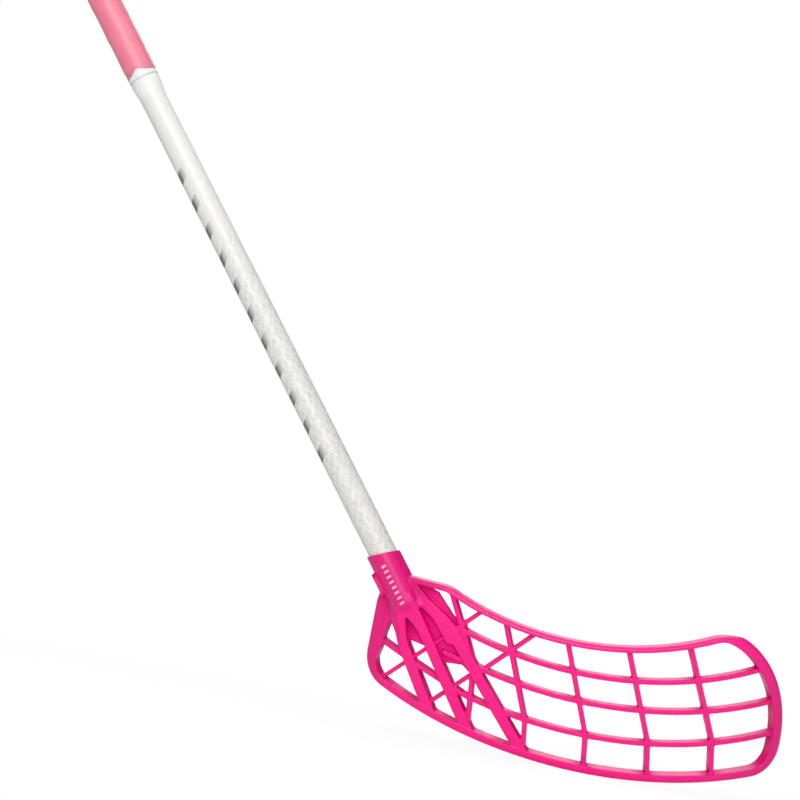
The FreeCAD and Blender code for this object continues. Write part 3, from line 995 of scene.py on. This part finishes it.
steel, tree, shader = new_material("plated_steel")
grain = use_group(tree, fine_grain, Scale=2500.0, Detail=2.0)["Height"]
scuffs = use_group(tree, hair_scuffs, Scale=300.0)["Mask"]
dulling = maths(tree, "MULTIPLY", scuffs, STEEL_DULLING)
fill(tree, shader, {
    "Base Color": blend_colours(tree, grain, STEEL, STEEL_BRIGHT),
    "Metallic": 1.0,
    "Roughness": maths(tree, "ADD", grain_gloss(tree, grain, low=0.22, high=0.34), dulling),
    "Normal": bumped(tree, grain, strength=0.1, distance=0.1 * MM),
})
screw = frame["nodes"]["blade_screw"]
screw.data.materials.clear()
screw.data.materials.append(steel)
soft_rim = screw.modifiers.new("soft_rim", "BEVEL")
soft_rim.width = SCREW_BEVEL
soft_rim.segments = 2
soft_rim.limit_method = "ANGLE"
print("finish", steel.name)

# %% [markdown]
# ## Floor, backdrop and light
# The photograph has a bare white ground. The floor is pale and takes the stick's shadow.
# Rays from the camera see it as plain white with a share of the lit floor mixed in, so the
# shadow stays and no extra light is needed. That share fades out with the distance from
# the stick.

# %% Lay the floor
FLOOR_SIZE = 40.0
FLOOR_LOW = (0.900, 0.900, 0.900, 1.0)
FLOOR_HIGH = (0.930, 0.930, 0.930, 1.0)
FLOOR_LIFT = (0.400, 0.400, 0.400, 1.0)
WHITE_LIGHT = (1.0, 1.0, 1.0, 1.0)
SHADOW_FADE = (0.30, 0.75)
SHADOW_SHARE = 0.18


def plain_rays(tree, rays):
    """A mask of the rays that see a plain white ground."""
    return maths(tree, "MAXIMUM", rays["Is Camera Ray"], rays["Is Transmission Ray"])


floor_z = cad_box[0][2]
half = FLOOR_SIZE / 2
middle = (Vector(cad_box[0]) + Vector(cad_box[1])) / 2
floor_mesh = bpy.data.meshes.new("floor")
floor_mesh.from_pydata(
    [(middle.x + x * half, middle.y + y * half, floor_z) for x, y in SQUARE], [], [(0, 1, 2, 3)])
floor = put_in_scene("floor", floor_mesh)

paper, tree, shader = new_material("pale_floor")
tree.nodes.remove(shader)
rays = add(tree, "ShaderNodeLightPath").outputs
grain = use_group(tree, fine_grain, Scale=300.0, Detail=2.0)["Height"]
tone = blend_colours(tree, grain, FLOOR_LOW, FLOOR_HIGH)
lit = add(tree, "ShaderNodeBsdfDiffuse", {"Color": tone}).outputs[0]
# For the camera the lit floor is lifted, so that only the shadow stays darker than white.
lift = add(tree, "ShaderNodeBsdfDiffuse", {"Color": FLOOR_LIFT}).outputs[0]
lifted = add(tree, "ShaderNodeAddShader", {0: lit, 1: lift}).outputs[0]
bright = add(tree, "ShaderNodeEmission", {"Color": WHITE_LIGHT, "Strength": 1.0}).outputs[0]
spot = add(tree, "ShaderNodeNewGeometry").outputs["Position"]
away = add(
    tree, "ShaderNodeVectorMath", {0: spot, 1: (middle.x, middle.y, floor_z)},
    operation="DISTANCE").outputs["Value"]
blank = between(tree, away, *SHADOW_FADE, 1.0 - SHADOW_SHARE, 1.0)
shown = add(tree, "ShaderNodeMixShader", {0: blank, 1: lifted, 2: bright}).outputs[0]
seen = add(tree, "ShaderNodeMixShader", {0: plain_rays(tree, rays), 1: lit, 2: shown}).outputs[0]
fill(tree, tree.nodes["Material Output"], {"Surface": seen})
floor_mesh.materials.append(paper)
print("floor at %.4f m" % floor_z)

# %% [markdown]
# The lamps are large and soft. The main one stands behind the camera, in one plane with the
# shaft, so the shaft is brightest along its middle and falls off evenly to both sides. A
# tall, thin one on the right draws a faint second line. One just over the floor lights the
# undersides of the ribs, as the white ground in the photograph does, and one from above
# their tops. A last one behind the stick lights its back.

# %% Light the stick
WORLD_TINT = (0.97, 0.98, 1.0, 1.0)
WORLD_LIGHT = 0.28
GLOSS_LIGHT = 0.10
LIT_PLACE = Vector((0.36, 0.0, -0.36))
# Each lamp has a name, a place, a width, a height and a power in watts.
LAMPS = (
    ("key_front", (0.14, -2.05, 0.42), 1.4, 1.4, 24.5),
    ("strip_right", (1.60, -1.50, 0.20), 0.08, 2.2, 3.0),
    ("low_front", (0.55, -1.30, -0.50), 1.6, 0.25, 3.0),
    ("top", (0.30, -0.50, 1.50), 1.8, 1.2, 9.0),
    ("back", (0.20, 1.90, 1.10), 1.6, 1.6, 14.0),
)

world = bpy.data.worlds.new("studio")
bpy.context.scene.world = world
world.use_nodes = True
tree = world.node_tree
tree.nodes.clear()
rays = add(tree, "ShaderNodeLightPath").outputs
dimmed = spread(tree, rays["Is Glossy Ray"], WORLD_LIGHT, GLOSS_LIGHT)
ambient = add(tree, "ShaderNodeBackground", {"Color": WORLD_TINT, "Strength": dimmed}).outputs[0]
white = add(tree, "ShaderNodeBackground", {"Color": WHITE_LIGHT, "Strength": 1.0}).outputs[0]
sky = add(tree, "ShaderNodeMixShader", {0: plain_rays(tree, rays), 1: ambient, 2: white}).outputs[0]
add(tree, "ShaderNodeOutputWorld", {"Surface": sky})

for name, lamp_place, width, height, power in LAMPS:
    lamp = bpy.data.lights.new(name, "AREA")
    lamp.shape = "RECTANGLE"
    lamp.size = width
    lamp.size_y = height
    lamp.energy = power
    holder = put_in_scene(name, lamp)
    holder.location = lamp_place
    holder.rotation_euler = (LIT_PLACE - Vector(lamp_place)).to_track_quat("-Z", "Y").to_euler()
    print(name, power, "W")
